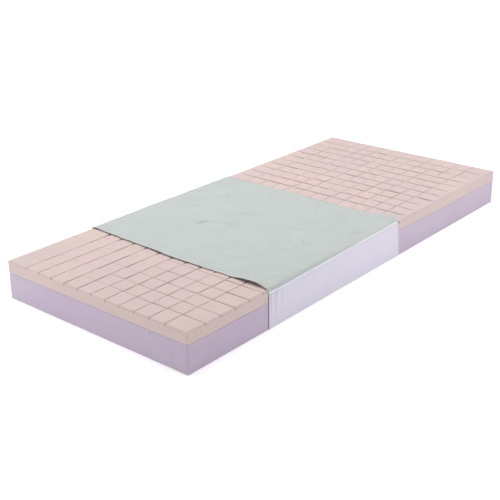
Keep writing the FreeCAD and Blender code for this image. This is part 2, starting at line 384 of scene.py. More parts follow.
def settle(V):
    """Cut foam isn't a true block: it swells a few mm past its nominal outline on the near side and at the near end."""
    V = V.copy()
    x, y, z = V[:, 0].copy(), V[:, 1].copy(), V[:, 2].copy()
    low = ss(TOP, 20, z)
    V[:, 0] -= (5.5 + 3.2 * low) * ss(-930, -990, x)
    V[:, 0] += (0.6 * noise(y, z, 160, 44) + 0.9) * ss(930, 990, x)
    V[:, 1] -= (6.2 + 0.25 * noise(x, z, 200, 45)) * ss(-385, -440, y)
    V[:, 1] += (0.8 + 2.6 * ss(BOND - 8, BOND + 14, z)) * ss(385, 440, y)
    return V


def spans(s, cuts):
    """For each place along a cut: which span between crossings, distance from the crossing before it and to the one after."""
    cuts = np.asarray(cuts)
    k = np.searchsorted(cuts, s)
    before = np.where(k > 0, s - cuts[np.clip(k - 1, 0, None)], 1e3)
    after = np.where(k < len(cuts), cuts[np.clip(k, None, len(cuts) - 1)] - s, 1e3)
    return k, before, after


def cut_shape(s, c, along_x):
    """Width, floor height, wander and openness of cut number c at places s along it.

    Knife cuts stand open or closed with how the slab was handled. Those along the mattress gape at the near end,
    those across it gape at the far end, and each closes up a little way short of a crossing."""
    k, before, after = spans(s, XCUT if along_x else YCUT)
    rnd = hash01(k, np.full_like(k, c), 23 if along_x else 11)
    if along_x:
        here = block_share(s)
        near_w = 2.95 - 0.5 * ss(120, -250, YCUT[c] + 0 * s)
        w0 = near_w * (0.86 + 0.28 * rnd) * (1 - here) + 2.15 * (0.93 + 0.14 * rnd) * here
        p_near = ss(0.0, 5.0, before) * (0.62 + 0.38 * ss(8.0, 24.0, after)) * ss(0.0, 3.0, after)
        p_far = ss(0.5, 4.0, before) * ss(0.5, 4.0, after)
        p = p_near * (1 - here) + p_far * here
    else:
        here = block_share(np.full_like(s, XCUT[c]))
        near_w = 0.6 + 1.9 * ss(150, -230, s) * (0.8 + 0.4 * rnd) + 2.4 * np.exp(-(after / 5.0) ** 2)
        w0 = near_w * (1 - here) + 6.2 * (0.92 + 0.16 * rnd) * here
        p_near = ss(0.0, 3.0, before) * ss(0.0, 1.0, after)
        p_far = ss(0.0, 2.5, before) * (0.5 + 0.5 * ss(2.0, 20.0, after)) * ss(0.0, 2.0, after)
        p = p_near * (1 - here) + p_far * here
    w = 0.4 + np.maximum(w0 - 0.4, 0) * p
    if along_x:
        # the sleeve's edge drags on the foam and opens the cuts that pass under it
        w = w + 4.5 * np.exp(-((s - CX0 + 9) / 9.0) ** 2)
    deep = ss(0.5, 1.4, w)
    floor = TOP - 1.2 - (TOP - 1.2 - 113.0) * deep
    from_edge = (HX if along_x else HY) - np.abs(s)
    shallow = TOP - 8.0
    floor = np.where(from_edge < 14, np.maximum(floor, shallow + (floor - shallow) * ss(6, 12, from_edge)), floor)
    wander = 0.55 * noise(s, np.full_like(s, 100.0 * c), 95, 26 if along_x else 14)
    openness = 0.22 + 0.78 * ss(0.4, 3.2, w)
    if not along_x and XCUT[c] > 230:
        # the cuts across the far end stop short of the long edges
        cut = ss(11.5, 15.0, from_edge)
        w, openness, floor = 0.4 + (w - 0.4) * cut, openness * cut, TOP - 0.1 + (floor - TOP + 0.1) * cut
    return w, floor, wander, openness


D_EDGE = [0.0, 0.46, 1.76, 3.7, 6.0, 10.5]
DROP_EDGE = [6.0, 3.7, 1.76, 0.46, 0.0, 0.0]
D_CUT = [0.0, 0.7, 1.9, 4.2, 9.5]
DROP_CUT = [1.9, 0.95, 0.42, 0.14, 0.0]


def lines(cuts, half):
    """The mesh's lines across one direction: (kind, cut, side, distance, drop, nominal place)."""
    out = []
    edges = [None] + list(range(len(cuts))) + [None]
    for cell in range(len(cuts) + 1):
        a, b = edges[cell], edges[cell + 1]
        xa = -half if a is None else cuts[a]
        xb = half if b is None else cuts[b]
        da = list(zip(D_EDGE, DROP_EDGE)) if a is None else list(zip(D_CUT, DROP_CUT))
        db = list(zip(D_EDGE, DROP_EDGE)) if b is None else list(zip(D_CUT, DROP_CUT))
        for d, drop in da:
            out.append(("edge" if a is None else "cell", a, 1, d, drop, xa + d + (0 if a is None else 1)))
        for f in (1 / 3, 2 / 3):
            out.append(("mid", (a, b), 0, f, 0.0, (1 - f) * (xa + 10) + f * (xb - 10)))
        for d, drop in reversed(db):
            out.append(("edge" if b is None else "cell", b, -1, d, drop, xb - d - (0 if b is None else 1)))
        if b is not None:
            for kind, side in (("wall", -1), ("floor", -1), ("floor", 1), ("wall", 1)):
                out.append((kind, b, side, 0.0, 1.9, xb + 0.6 * side))
    return out


def foam_top():
    LX, LY = lines(XCUT, HX), lines(YCUT, HY)
    nx, ny = np.array([l[5] for l in LX]), np.array([l[5] for l in LY])
    N, M = len(LX), len(LY)

    def places(L, cuts, half, across, along_x):
        """Position of each line at each nominal place of the other direction, with the cut's floor and openness there."""
        shape = (len(L), len(across))
        pos, floor, gape = np.zeros(shape), np.full(shape, np.nan), np.ones(shape)
        shapes = {c: cut_shape(across, c, along_x) for c in range(len(cuts))}

        def wall(c, side):
            w, f, wander, _ = shapes[c]
            return cuts[c] + wander + side * w / 2

        def last(c, side):
            return (-half * side + 10.5 * side) + 0 * across if c is None else wall(c, side) + 9.5 * side

        for i, (kind, c, side, d, drop, at) in enumerate(L):
            if kind == "edge":
                pos[i] = -half * side + d * side
            elif kind == "cell":
                pos[i] = wall(c, side) + d * side
                gape[i] = shapes[c][3]
            elif kind == "mid":
                a, b = last(c[0], 1), last(c[1], -1)
                pos[i] = a * (1 - d) + b * d
            elif kind == "wall":
                pos[i] = wall(c, side) - 0.03 * side
                floor[i] = shapes[c][1]
                gape[i] = shapes[c][3]
            else:
                pos[i] = cuts[c] + shapes[c][2] + side * shapes[c][0] * 0.30
                floor[i] = shapes[c][1]
                gape[i] = shapes[c][3]
        return pos, floor, gape

    # cuts across are seen by their place in X, and run along Y
    PX, FX, GX = places(LX, XCUT, HX, ny, False)
    PY, FY, GY = (a.T for a in places(LY, YCUT, HY, nx, True))
    dropx = np.array([l[4] for l in LX])[:, None] * GX
    dropy = np.array([l[4] for l in LY])[None, :] * GY
    X, Y = PX, PY
    ci = np.searchsorted(np.array(XCUT), nx)[:, None]
    cj = np.searchsorted(np.array(YCUT), ny)[None, :]
    lift = (hash01(ci + 0 * cj, cj + 0 * ci, 41) - 0.5) * 0.9
    tilt = ((hash01(ci + 0 * cj, cj + 0 * ci, 42) - 0.5) * (nx[:, None] - np.interp(ci, range(28), [(a + b) / 2 for a, b in zip([-HX] + XCUT, XCUT + [HX])])) +
            (hash01(ci + 0 * cj, cj + 0 * ci, 43) - 0.5) * (ny[None, :] - np.interp(cj, range(12), [(a + b) / 2 for a, b in zip([-HY] + YCUT, YCUT + [HY])]))) * 0.022
    inner = ss(0, 25, HX - np.abs(nx))[:, None] * ss(0, 25, HY - np.abs(ny))[None, :]
    drop = np.maximum(dropx, dropy) + 0.55 * np.minimum(dropx, dropy)
    S = TOP - drop + (lift + tilt) * inner + 0.25 * noise(X, Y, 60, 9)
    S = np.minimum(S, TOP + 0.6)
    kx = np.array([{"wall": 1, "floor": 2}.get(l[0], 0) for l in LX])[:, None] + 0 * ny[None, :]
    ky = np.array([{"wall": 1, "floor": 2}.get(l[0], 0) for l in LY])[None, :] + 0 * nx[:, None]
    F = np.fmin(np.where(kx == 2, FX, np.nan), np.where(ky == 2, FY, np.nan))
    both = (kx > 0) & (ky > 0)
    wallz = np.where((kx == 1) | (ky == 1), np.maximum(S - 5.0, np.fmin(FX, FY)), S)
    Z = np.where((kx == 1) | (ky == 1), np.minimum(S - 0.3, wallz), S)
    Z = np.where((kx == 2) | (ky == 2), np.minimum(S - 0.4, F), Z)
    gate = np.minimum(GX, GY)
    Z = np.where(both, TOP - 1.9 - 2.4 * gate - 0.5 * (kx + ky - 2), Z)
    # how far down inside a cut each point lies; the pink foam's material paints shade from it, darkest deep in the cuts
    depth = np.clip((S + 0.35 - Z) / 4.6, 0, 1) * ((kx > 0) | (ky > 0))
    tone = 2 * hash01(ci + 0 * cj, cj + 0 * ci, 47) - 1
    P = np.stack([X, Y, Z], 2)

    # the outer wall: rings down from the top's outline
    idx = np.arange(N * M).reshape(N, M)
    loop = np.concatenate([idx[:, 0], idx[-1, 1:], idx[-2::-1, -1], idx[0, -2:0:-1]])
    V = P.reshape(-1, 3)
    V[loop] = round_rect(V[loop], HX, HY, 3.5)
    faces = [quads(N, M)]
    rings, prev, count = [], loop, len(V)
    outline = V[loop]
    nrm = outline[:, :2].copy()
    nrm[:, 0] = np.where(np.abs(np.abs(nrm[:, 0]) - HX) < 3.6, np.sign(nrm[:, 0]), 0)
    nrm[:, 1] = np.where(np.abs(np.abs(nrm[:, 1]) - HY) < 3.6, np.sign(nrm[:, 1]), 0)
    nrm /= np.maximum(np.hypot(nrm[:, 0], nrm[:, 1])[:, None], 1e-6)
    bz = bond_z(outline[:, 0], outline[:, 1])
    for lev, t in enumerate((0.0, 0.3, 0.62, 0.88, 0.975, 1.0)):
        ring = outline.copy()
        z = 138.6 + (bz - 138.6) * t
        ring[:, 2] = z
        push = 0.35 * noise(outline[:, 0] + outline[:, 1], z + 0 * z, 45, 31) + 0.25 * noise(outline[:, 0] - outline[:, 1], z, 14, 32)
        push = push - (0.9 if t == 1.0 else 0.0)
        ring[:, :2] += nrm * push[:, None]
        rings.append(ring)
        cur = np.arange(count, count + len(ring))
        nxt = np.roll(cur, -1)
        faces.append(np.stack([prev, cur, nxt, np.roll(prev, -1)], 1))
        prev, count = cur, count + len(ring)
    inset = outline.copy()
    inset[:, :2] -= nrm * 30
    inset[:, 2] = BOND
    cur = np.arange(count, count + len(inset))
    faces.append(np.stack([prev, cur, np.roll(cur, -1), np.roll(prev, -1)], 1))
    V = np.concatenate([V] + rings + [inset])
    V = settle(V)
    o = make("castellated_foam", V, np.concatenate(faces))
    for key, values in (("depth", depth), ("tone", tone)):
        at = o.data.attributes.new(key, "FLOAT", "POINT")
        data = np.zeros(len(V), np.float32)
        data[:N * M] = values.ravel()
        at.data.foreach_set("value", data)
    bm = bmesh.new()
    bm.from_mesh(o.data)
    bm.verts.ensure_lookup_table()
    ring = [bm.verts[i] for i in cur]
    f = bm.faces.new(ring[::-1])
    f.smooth = False
    bmesh.ops.recalc_face_normals(bm, faces=bm.faces)
    bm.to_mesh(o.data)
    bm.free()
    return o


PITS = [  # (face, place along it, height, radius, depth): blow holes in the base foam
    ("x-", 388, 90, 2.6, 3.4), ("x-", -282, 94, 2.6, 3.6), ("x-", -387, 63, 3.0, 4.0), ("x-", 120, 40, 1.6, 1.8),
    ("y-", -760, 38, 1.7, 2.0), ("y-", 520, 70, 1.6, 1.8), ("y-", 905, 30, 2.0, 2.2),
    ("y+", -820, 61, 2.2, 2.6), ("y+", -300, 20, 1.6, 2.0), ("y+", 640, 80, 2.1, 2.4), ("x+", -210, 74, 2.3, 2.6), ("x+", 260, 33, 1.8, 2.0),
]


def foam_base():
    r = 3.5
    rows = set(np.round(np.linspace(8, 96, 12), 2))
    cols = {"x-": set(), "x+": set(), "y-": set(), "y+": set()}
    for face, s, z, rad, depth in PITS:
        for k in (-1.6, -1.0, -0.55, 0, 0.55, 1.0, 1.6):
            rows.add(round(z + k * rad, 2))
            cols[face].add(round(s + k * rad, 2))
    for face, half in (("x-", HY), ("x+", HY), ("y-", HX), ("y+", HX)):
        cols[face] |= set(np.round(np.linspace(-half + r, half - r, int(half / 6.5)), 2))

    def spaced(values, least):
        keep = []
        for v in sorted(values):
            if not keep or v - keep[-1] >= least:
                keep.append(v)
        return keep

    c = {k: spaced(v, 0.45) for k, v in cols.items()}
    arc = [math.radians(a) for a in (15, 30, 45, 60, 75)]

    def corner(cx, cy, start):
        return [(cx + r * math.cos(start + a), cy + r * math.sin(start + a)) for a in arc]

    outline = [(s, -HY) for s in c["y-"]] + corner(HX - r, -HY + r, -math.pi / 2)
    outline += [(HX, s) for s in c["x+"]] + corner(HX - r, HY - r, 0)
    outline += [(s, HY) for s in reversed(c["y+"])] + corner(-HX + r, HY - r, math.pi / 2)
    outline += [(-HX, s) for s in reversed(c["x-"])] + corner(-HX + r, -HY + r, math.pi)
    O = np.array(outline)
    n = np.stack([np.where(np.abs(O[:, 0]) > HX - r - 1e-6, np.sign(O[:, 0]) * (np.abs(O[:, 0]) - (HX - r)), 0),
                  np.where(np.abs(O[:, 1]) > HY - r - 1e-6, np.sign(O[:, 1]) * (np.abs(O[:, 1]) - (HY - r)), 0)], 1)
    n /= np.maximum(np.hypot(n[:, 0], n[:, 1])[:, None], 1e-9)
    bz = bond_z(O[:, 0], O[:, 1])
    levels = [("in", 30.0, BOTTOM), ("z", 1.5, BOTTOM), ("z", 0.5, BOTTOM + 0.3), ("z", 0.0, BOTTOM + 1.4)]
    levels += [("z", 0.0, z) for z in spaced(rows, 0.45)]
    levels += [("b", 0.0, -3.0), ("b", 0.25, -0.8), ("b", 1.0, -0.05), ("in", 30.0, None)]
    rings = []
    run = O[:, 0] - O[:, 1]
    for kind, inset, z in levels:
        if kind == "b":
            zz = bz + z
        else:
            zz = np.full(len(O), BOND if z is None else z)
        if kind == "z" and z > 95:
            zz = np.minimum(zz, bz - 3.4)
        push = 0.5 * noise(O[:, 0] * 1.0, O[:, 1] + zz, 120, 51) + 0.22 * noise(O[:, 0] + O[:, 1], zz, 22, 52)
        push = push * (0 if kind == "in" else 1) - inset
        for face, s, pz, rad, depth in PITS:
            if kind != "z":
                continue
            axis, sign = (0, -1 if face[1] == "-" else 1) if face[0] == "x" else (1, -1 if face[1] == "-" else 1)
            on = n[:, axis] * sign > 0.99
            d = np.hypot(O[:, 1 - axis] - s, zz - pz) / rad
            push -= np.where(on, depth * np.clip(1 - d ** 2 / 1.2, 0, 1) ** 0.6, 0)
        ring = np.column_stack([O + n * push[:, None], zz])
        rings.append(ring)
    R = len(O)
    V = settle(np.concatenate(rings))
    faces = []
    for k in range(len(rings) - 1):
        a = np.arange(R) + k * R
        b = a + R
        faces.append(np.stack([a, np.roll(a, -1), np.roll(b, -1), b], 1))
    o = make("base_foam_block", V, np.concatenate(faces))
    bm = bmesh.new()
    bm.from_mesh(o.data)
    bm.verts.ensure_lookup_table()
    for lo, flip in ((0, True), ((len(rings) - 1) * R, False)):
        ring = [bm.verts[i] for i in range(lo, lo + R)]
        f = bm.faces.new(ring[::-1] if flip else ring)
        f.smooth = False
    bmesh.ops.recalc_face_normals(bm, faces=bm.faces)
    bm.to_mesh(o.data)
    bm.free()
    return o


top_foam = foam_top()
base_foam = foam_base()

# ------------------------------------------------------------------ cover
def seam_height(x, side):
    """Where the top panel meets the side wall: it creeps up towards the far end of the sleeve on the near side."""
    x = np.asarray(x, float)
    if side < 0:
        return np.interp(x, [CX0, -545, -477, -404, -317, -229, -141, -50, 43, 114, 150, 170, CX1 + 12],
                         [138.2, 136.8, 138.8, 140.6, 142.4, 144.6, 146.2, 147.8, 149.3, 150.8, 152.0, 151.6, 149.6])
    return SEAM_Z - 2.5 + 0.8 * noise(x, 0 * x, 140, 77)


NEAR_Y = OUT_Y + 2.1      # the foam swells a little past its outline on the near side, and the sleeve goes round it
FAR_Y = OUT_Y


def left_edge(y):
    path = np.interp(y, [-450, -409, -359, -311, -210, -102, 13, 146, 281, 450],
                     [-610, -607, -606, -605, -606, -611, -613, -606, -601, -597])
    return path + (CX0 + 598) + 0.7 * noise(y, 0 * y, 42, 62)


def right_edge(y):
    return CX1 + 1.5 + 2.0 * noise(y, 0 * y, 120, 63) + 1.0 * noise(y, 0 * y, 40, 64) + 7.5 * np.exp(-((y + 385) / 45.0) ** 2) + 4 * ss(380, 440, y)


def fold(x, y, cx, cy, angle, length, width, height):
    """One soft crease: long along its angle, narrow across it, a little steeper on one side."""
    u, v = turned(x - cx, y - cy, angle)
    v = v + 0.12 * u * u / length
    w = np.where(v > 0, width * 1.35, width)
    return height * np.exp(-(u / length) ** 2) * np.exp(-(v / w) ** 2)


# Creases that stay in the stretch fabric: middle, direction, length, width and height.
CREASES = [(-292, 149, -28, 44, 8.5, 4.6), (-237, 66, -67, 56, 7.0, 3.6), (-258, 22, -67, 40, 6.0, 3.2), (-27, 276, -62, 46, 8, 3.4),
           (-112, 52, -66, 50, 8, 3.0), (-81, 215, -88, 85, 12, 2.8), (45, -27, -92, 62, 9, 2.8), (-295, 182, -41, 36, 8, 2.6),
           (-396, 288, -53, 20, 5, 2.0), (-452, -60, -69, 45, 5, 1.7), (-470, -205, -52, 52, 5.5, 1.9), (-365, -60, -60, 60, 9, 1.9),
           (-420, 60, -58, 50, 8, 1.7), (-150, -130, -64, 70, 11, 2.0), (-20, -230, -60, 80, 12, 2.0), (90, 180, -75, 70, 12, 1.8),
           (60, 330, -60, 60, 10, 1.8), (-200, 330, -50, 60, 10, 1.8), (-480, 330, -40, 50, 9, 1.5), (-330, -260, -50, 60, 9, 1.9),
           (-10, -385, -36, 40, 9, 2.6), (20, -350, -50, 36, 7, 1.6)]


def shape_of_cover(x, y):
    """The big forms of the top panel above the foam, in mm."""
    h = 0.0
    from_left = np.clip(x - left_edge(y), 0, None)
    from_right = np.clip(right_edge(y) - x, 0, None)
    # the cut edge stands a little off the foam, and arches up beside the near corner
    h = h + np.exp(-from_left / 14.0) * (1.5 + 0.8 * noise(y, 0 * y, 75, 65))
    h = h + 11.5 * np.exp(-((y + 371) / np.where(y > -371, 66.0, 44.0)) ** 2) * np.exp(-from_left / 55.0)
    u, v = turned(x + 606, y + 380, -5)
    h = h + 3.4 * np.exp(-(v / 20.0) ** 2) * np.exp(-np.clip(u, 0, None) / 150.0)
    h = h + np.exp(-from_right / 12.0) * (1.0 + 0.8 * noise(y, 0 * y, 60, 66))
    arch = np.exp(-((y + 383) / np.where(y < -383, 44.0, 36.0)) ** 2)
    h = h + 12.5 * ss(148, 184, x + 0.12 * (y + 380)) * arch + 3.0 * fold(x, y, 134, -366, -62, 26, 8, 1.0)
    # slack beside the near seam, most of it next to the near corner
    h = h + 3.4 * np.exp(-((y + 447 - 27) / 13.0) ** 2) * ss(-585, -550, x) * ss(-385, -425, x)
    h = h + 1.5 * np.exp(-((y + 447 - 24) / 12.0) ** 2) * ss(-400, -350, x) * (0.6 + 0.4 * noise(x, 0 * x, 90, 67))
    h = h + fold(x, y, -60, -418, -4, 150, 10, 1.6) + fold(x, y, -300, -422, -3, 120, 9, 1.6)
    return h


def fine_creases(x, y):
    """Small creases, mostly running one way, as a slack knit shows."""
    h = 0.0
    for size, angle, amp, seed, stretch in ((120, -55, 0.9, 71, 0.42), (64, -66, 0.62, 72, 0.36), (36, -50, 0.42, 73, 0.34), (22, -62, 0.24, 74, 0.38)):
        u, v = turned(x, y, angle)
        u = u + 0.35 * size * noise(x, y, size * 2.5, seed + 5)
        v = v + 0.30 * size * noise(x, y, size * 2.1, seed + 6)
        ridge = 1 - np.abs(noise(u * stretch, v, size * 0.55, seed))
        patch = 0.25 + 0.75 * ss(-0.25, 0.45, noise(x, y, size * 3.1, seed + 9))
        h = h + amp * (ridge ** 3 - 0.25) * patch
    h = h + 0.9 * noise(*turned(x * 1.0, y * 1.0, -58), 230, 79)
    return h


def settle_cloth(o, block, pin, frames, grow):
    """Cloth simulation: the panel settles on the foam, held where its pin weights say."""
    group = o.vertex_groups.new(name="pin")
    for i, w in enumerate(pin):
        group.add([i], float(w), "REPLACE")
    col = block.modifiers.new("collision", "COLLISION")
    block.collision.thickness_outer = 0.0004
    block.collision.cloth_friction = 12.0
    c = o.modifiers.new("cloth", "CLOTH")
    st = c.settings
    st.quality, st.mass, st.air_damping = 6, 0.12, 2.0
    st.tension_stiffness = st.compression_stiffness = 18.0
    st.shear_stiffness, st.bending_stiffness = 8.0, 0.35
    st.tension_damping = st.compression_damping = st.shear_damping = 6.0
    st.vertex_group_mass = "pin"
    st.pin_stiffness = 1.2
    st.shrink_min = -grow
    c.collision_settings.distance_min = 0.0008
    c.collision_settings.collision_quality = 2
    c.collision_settings.use_self_collision = False
    scene = bpy.context.scene
    c.point_cache.frame_start, c.point_cache.frame_end = 1, frames
    for f in range(1, frames + 1):
        scene.frame_set(f)
    apply_all(o)
    o.vertex_groups.clear()
    scene.frame_set(1)
    bpy.data.objects.remove(block, do_unlink=True)


def foam_proxy(x0, x1):
    """A plain rounded block with the covered foam's outline, only to drape on; it's taken away afterwards."""
    ys = np.concatenate([[-446.6, -446.6], -440.6 - 6 * np.sin(np.radians([75, 55, 35, 15])), np.linspace(-440, 438, 60),
                         438.4 + 6 * np.sin(np.radians([15, 35, 55, 75])), [444.4, 444.4]])
    zs = np.concatenate([[100, 142], 142.6 + 6 * np.cos(np.radians([75, 55, 35, 15])), np.full(60, TOP + 0.1),
                         142.6 + 6 * np.cos(np.radians([15, 35, 55, 75])), [142, 100]])
    xs = np.linspace(x0, x1, 60)
    P = np.zeros((60, len(ys), 3))
    P[..., 0], P[..., 1], P[..., 2] = xs[:, None], ys[None, :], zs[None, :]
    return grid("drape_block", P)


def cover_top():
    r = 10.0
    z0 = TOP + 1.5
    arc = r * math.pi / 2
    nu = 112
    fn, ff = NEAR_Y - r, FAR_Y - r
    v = np.concatenate([np.linspace(-fn - arc - 6.0, -fn - arc, 3)[:-1], np.linspace(-fn - arc, -fn, 6)[:-1],
                        np.linspace(-fn, ff, 124), np.linspace(ff, ff + arc, 6)[1:], np.linspace(ff + arc, ff + arc + 6.0, 3)[1:]])
    U, Vv = np.meshgrid(np.linspace(0, 1, nu), v, indexing="ij")
    flat = np.where(Vv < 0, fn, ff)
    a = np.clip((np.abs(Vv) - flat) / r, 0, math.pi / 2)
    down = np.clip(np.abs(Vv) - flat - arc, 0, None) / 6.0
    s = np.sign(Vv)
    Y = np.where(a <= 0, Vv, s * (flat + r * np.sin(a)))
    X = left_edge(Y) * (1 - U) + right_edge(Y) * U
    zseam = np.where(s < 0, seam_height(X, -1), seam_height(X, 1))
    fall = z0 - zseam - 1.0
    Z = z0 - fall + fall * np.cos(a)
    Z = np.where(down > 0, z0 - fall - 1.0 * down, Z)
    h = np.maximum(shape_of_cover(X, Y), -0.6)
    keep = 1 - 0.9 * ss(0.0, 1.0, a / (math.pi / 2))
    Z = Z + h * keep * (1 - down)
    P = np.stack([X, Y, Z], 2)
    o = grid("cover_top_sheet", P)
    wave = np.clip(np.abs(h) / 4.0, 0, 1) * 0.5
    edge = 0.55 * np.maximum(ss(16, 2, X - left_edge(Y)), ss(16, 2, right_edge(Y) - X))
    pin = np.maximum(np.maximum(wave, edge), np.where(a > 0.25, 1.0, 0.0))
    settle_cloth(o, foam_proxy(CX0 - 40, CX1 + 40), pin.ravel(), 26, 0.006)
    m = o.modifiers.new("finer", "SUBSURF")
    m.levels = m.render_levels = 1
    m.boundary_smooth = "PRESERVE_CORNERS"
    apply_all(o)
    me = o.data
    co = np.zeros(len(me.vertices) * 3, np.float32)
    me.vertices.foreach_get("co", co)
    co = co.reshape(-1, 3).astype(float)
    no = np.zeros(len(me.vertices) * 3, np.float32)
    me.vertex_normals.foreach_get("vector", no)
    no = no.reshape(-1, 3)
    x, y, z = co[:, 0] / MM, co[:, 1] / MM, co[:, 2] / MM
    up_ = np.where(no[:, 2:3] < -0.2, -1, 1)
    creases = sum(fold(x, y, *c) for c in CREASES)
    amount = (2.1 * creases + 3.7 * fine_creases(x, y)) * ss(143.5, 148.5, z) * (0.35 + 0.65 * ss(0, 30, NEAR_Y - np.abs(y)))
    co += no * up_ * amount[:, None] * MM
    top = (np.abs(y) < NEAR_Y - 9)
    co[:, 2] = np.where(top, np.maximum(co[:, 2], (TOP + 0.75) * MM), co[:, 2])
    # the loose cloth never stands more than about 13 mm off the foam
    off = co[:, 2] / MM - TOP
    co[:, 2] = np.where(off > 9.5, (TOP + 9.5 + 3.4 * (1 - np.exp(-(off - 9.5) / 3.4))) * MM, co[:, 2])
    me.vertices.foreach_set("co", co.astype(np.float32).ravel())
    me.update()
    me.polygons.foreach_set("use_smooth", [True] * len(me.polygons))
    return o


def wall_sheet(name, side, z_of_top, z_low, y_in, bulge, tuck=False, seed=80, pleats=True):
    """An upright wall of the sleeve. z_of_top(x) is its upper edge; its lower edge turns in under the foam if tuck."""
    nu, nv = 260, 40
    t = np.linspace(0, 1, nv)
    # closer columns beside the cut edges, where it's pleated
    u = np.concatenate([np.linspace(0, 0.1, 60)[:-1], np.linspace(0.1, 0.93, 150)[:-1], np.linspace(0.93, 1, 52)])
    U, T = np.meshgrid(u, t, indexing="ij")
    xl, xr = (CX0 - 8.5, CX1 - 5.0) if side < 0 else (CX0 + 0.5, CX1)
    X = xl + (xr - xl) * U
    zt = z_of_top(X)
    Z = zt + (z_low - zt) * T
    if side < 0:
        X = X + U ** 4 * 16.0 * (1 - Z / 150.0)
    mid = ss(0, 12, zt - Z) * ss(0, 9, Z - z_low)
    el, er = (xr - xl) * U, (xr - xl) * (1 - U)
    out = mid * bulge * (0.5 + 0.38 * noise(X, Z * 0.4, 150, seed) + 0.16 * noise(X, Z * 0.5, 46, seed + 1))
    if pleats:
        high = 0.15 + 0.85 * ss(30, 100, Z)
        for cx, w, hgt in ((2.5, 2.0, 1.6), (14.0, 5.5, 3.3), (43.0, 8.0, 3.6), (79.0, 11.0, 1.7), (120.0, 16.0, 0.8)):
            lean = 2.5 * (1 - Z / 140.0) * math.sin(cx)
            out = out + mid * hgt * high * np.exp(-((el - cx - lean) / w) ** 2)
        out = out + (np.exp(-er / 12.0) * 0.8 + np.exp(-er / 3.0) * 1.6) * mid
        diag = fold(X, Z * 2.0, 120, 250, -12, 160, 12, 0.9) + fold(X, Z * 2.0, -250, 230, -8, 150, 14, 0.7) + fold(X, Z * 2, -440, 210, 20, 90, 13, 0.8)
        out = out + diag * mid
    Y = side * (y_in + out)
    if tuck:
        Y = Y - side * 1.6 * ss(1.6, 0.0, Z - z_low)
    return grid(name, np.stack([X, Y, Z], 2), flip=side < 0)


top_sheet = cover_top()
near_wall = wall_sheet("cover_wall_near", -1, lambda x: seam_height(x, -1), 0.5, NEAR_Y, 1.7, tuck=True)
far_upper = wall_sheet("cover_wall_far_upper", 1, lambda x: seam_height(x, 1), mmbox("cover_side_panel_far_upper")[0][2], OUT_Y - 0.8, 0.5, seed=90, pleats=False)
far_lower = wall_sheet("cover_wall_far_lower", 1, lambda x: mmbox("cover_side_panel_far_lower")[1][2] + 0 * x, 0.5, OUT_Y - 0.8, 0.4, tuck=True, seed=95, pleats=False)


def base_sheet():
    nu, nv = 120, 130
    X, Y = np.meshgrid(np.linspace(CX0 + 1, CX1 + 6, nu), np.linspace(-NEAR_Y + 0.6, OUT_Y - 1.6, nv), indexing="ij")
    Z = 0.85 + 0.12 * noise(X, Y, 60, 99)
    return grid("cover_base_sheet", np.stack([X, Y, Z], 2), flip=True)


base_sheet_o = base_sheet()


def bead(name, side, z_of_x, proud, tall, x0, x1):
    """A weld or piping bead along the sleeve."""
    xs = np.linspace(x0, x1, 170)
    prof = [(0.0, 1.0), (0.55, 0.8), (0.92, 0.35), (1.0, -0.1), (0.8, -0.6), (0.4, -0.92), (0.0, -1.0)]
    rows = []
    for x in xs:
        zc = float(z_of_x(np.array([x]))[0])
        k = 1 + 0.10 * float(noise(np.array([x]), np.array([0.0]), 9, 111)[0])
        rows.append([(x, side * ((NEAR_Y + 0.8 if side < 0 else OUT_Y) - 0.15 + proud * a * k), zc + tall / 2 * b) for a, b in prof])
    P = np.array(rows)
    n, m, _ = P.shape
    V = P.reshape(-1, 3)
    f = [list(q) for q in quads(n, m, flip=side > 0)]
    back = [(i * m, i * m + m - 1, (i + 1) * m + m - 1, (i + 1) * m) for i in range(n - 1)]
    f += [list(b if side > 0 else b[::-1]) for b in back]
    f.append(list(range(m)) if side < 0 else list(range(m))[::-1])
    f.append(list(range((n - 1) * m, n * m))[::-1] if side < 0 else list(range((n - 1) * m, n * m)))
    o = make(name, V, f)
    bm = bmesh.new()
    bm.from_mesh(o.data)
    bmesh.ops.recalc_face_normals(bm, faces=bm.faces)
    bm.to_mesh(o.data)
    bm.free()
    return o


top_bead_near = bead("seam_top_near", -1, lambda x: seam_height(x, -1), 1.7, 3.4, CX0 - 8.5, CX1 - 4)
top_bead_far = bead("seam_top_far", 1, lambda x: seam_height(x, 1), 1.4, 3.2, CX0, CX1)
low_bead_near = bead("seam_low_near", -1, lambda x: 2.4 + 0 * x, 0.7, 2.6, CX0 - 7, CX1 + 10)
low_bead_far = bead("seam_low_far", 1, lambda x: 2.4 + 0 * x, 0.7, 2.6, CX0 + 2, CX1)

# ------------------------------------------------------------------ the zip on the far side
ZX0, ZX1 = mmbox("zip_teeth_upper")[0][0], mmbox("zip_teeth_upper")[1][0]
TU, TL = mmbox("zip_tape_upper"), mmbox("zip_tape_lower")
KU, KL = mmbox("zip_teeth_upper"), mmbox("zip_teeth_lower")
ZIP_MID = (TU[0][2] + TL[1][2]) / 2
PITCH = 4.0


def tape(name, b, seed):
    """Woven tape, with a rolled edge beside the teeth and a little ripple."""
    lo, hi = b
    nu, nv = 330, 12
    X, T = np.meshgrid(np.linspace(lo[0], hi[0], nu), np.linspace(0, 1, nv), indexing="ij")
    Z = lo[2] + (hi[2] - lo[2]) * T
    away = np.abs(Z - ZIP_MID)
    Y = (lo[1] + hi[1]) / 2 - 0.1 + 0.10 * noise(X, Z * 2, 26, seed) + 0.06 * noise(X, Z, 9, seed + 1)
    Y = Y + 0.28 * np.exp(-((away - 4.4) / 0.8) ** 2)
    return grid(name, np.stack([X, Y, Z], 2), flip=True)


